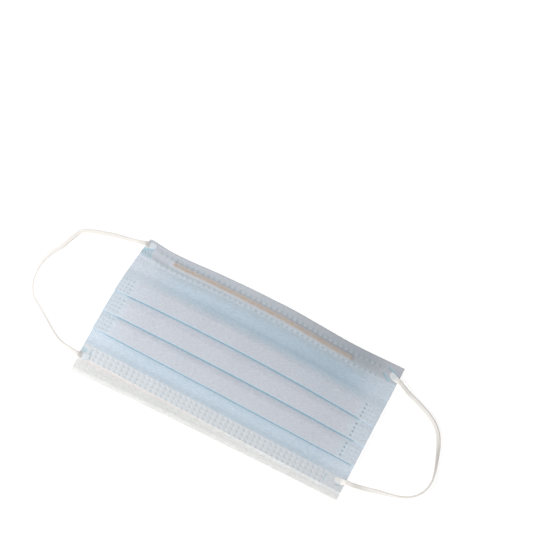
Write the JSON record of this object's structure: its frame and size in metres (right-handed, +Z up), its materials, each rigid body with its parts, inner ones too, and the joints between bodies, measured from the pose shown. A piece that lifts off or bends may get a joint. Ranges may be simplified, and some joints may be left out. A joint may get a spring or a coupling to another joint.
{
  "type": "pleated surgical face mask with ear loops",
  "caption": "Flat-folded pleated surgical face mask with a blue outer face, white hems, a bendable nose wire and elastic ear loops laid out at both sides.",
  "frame": {"origin": "middle of the mask's underside, on the surface that it lies on", "axes": "+X along the mask's width, +Y towards the nose edge, +Z up out of the blue outer face"},
  "size_m": [0.2732, 0.0966, 0.0058],
  "materials": {
    "blue_cloth": "thin pressed nonwoven, matte",
    "white_cloth": "thin pressed nonwoven, matte",
    "coated_wire": "satin plastic over a steel core",
    "elastic": "soft knitted elastic"
  },
  "bodies": {
    "root": {"pleated_panel": "blue_cloth", "nose_hem": "white_cloth", "nose_wire": "coated_wire", "chin_hem": "white_cloth", "loop_end_nose_left": "elastic", "loop_end_chin_left": "elastic", "loop_end_nose_right": "elastic", "loop_end_chin_right": "elastic", "ear_loop_left": "elastic", "ear_loop_right": "elastic"}
  },
  "joints": []
}
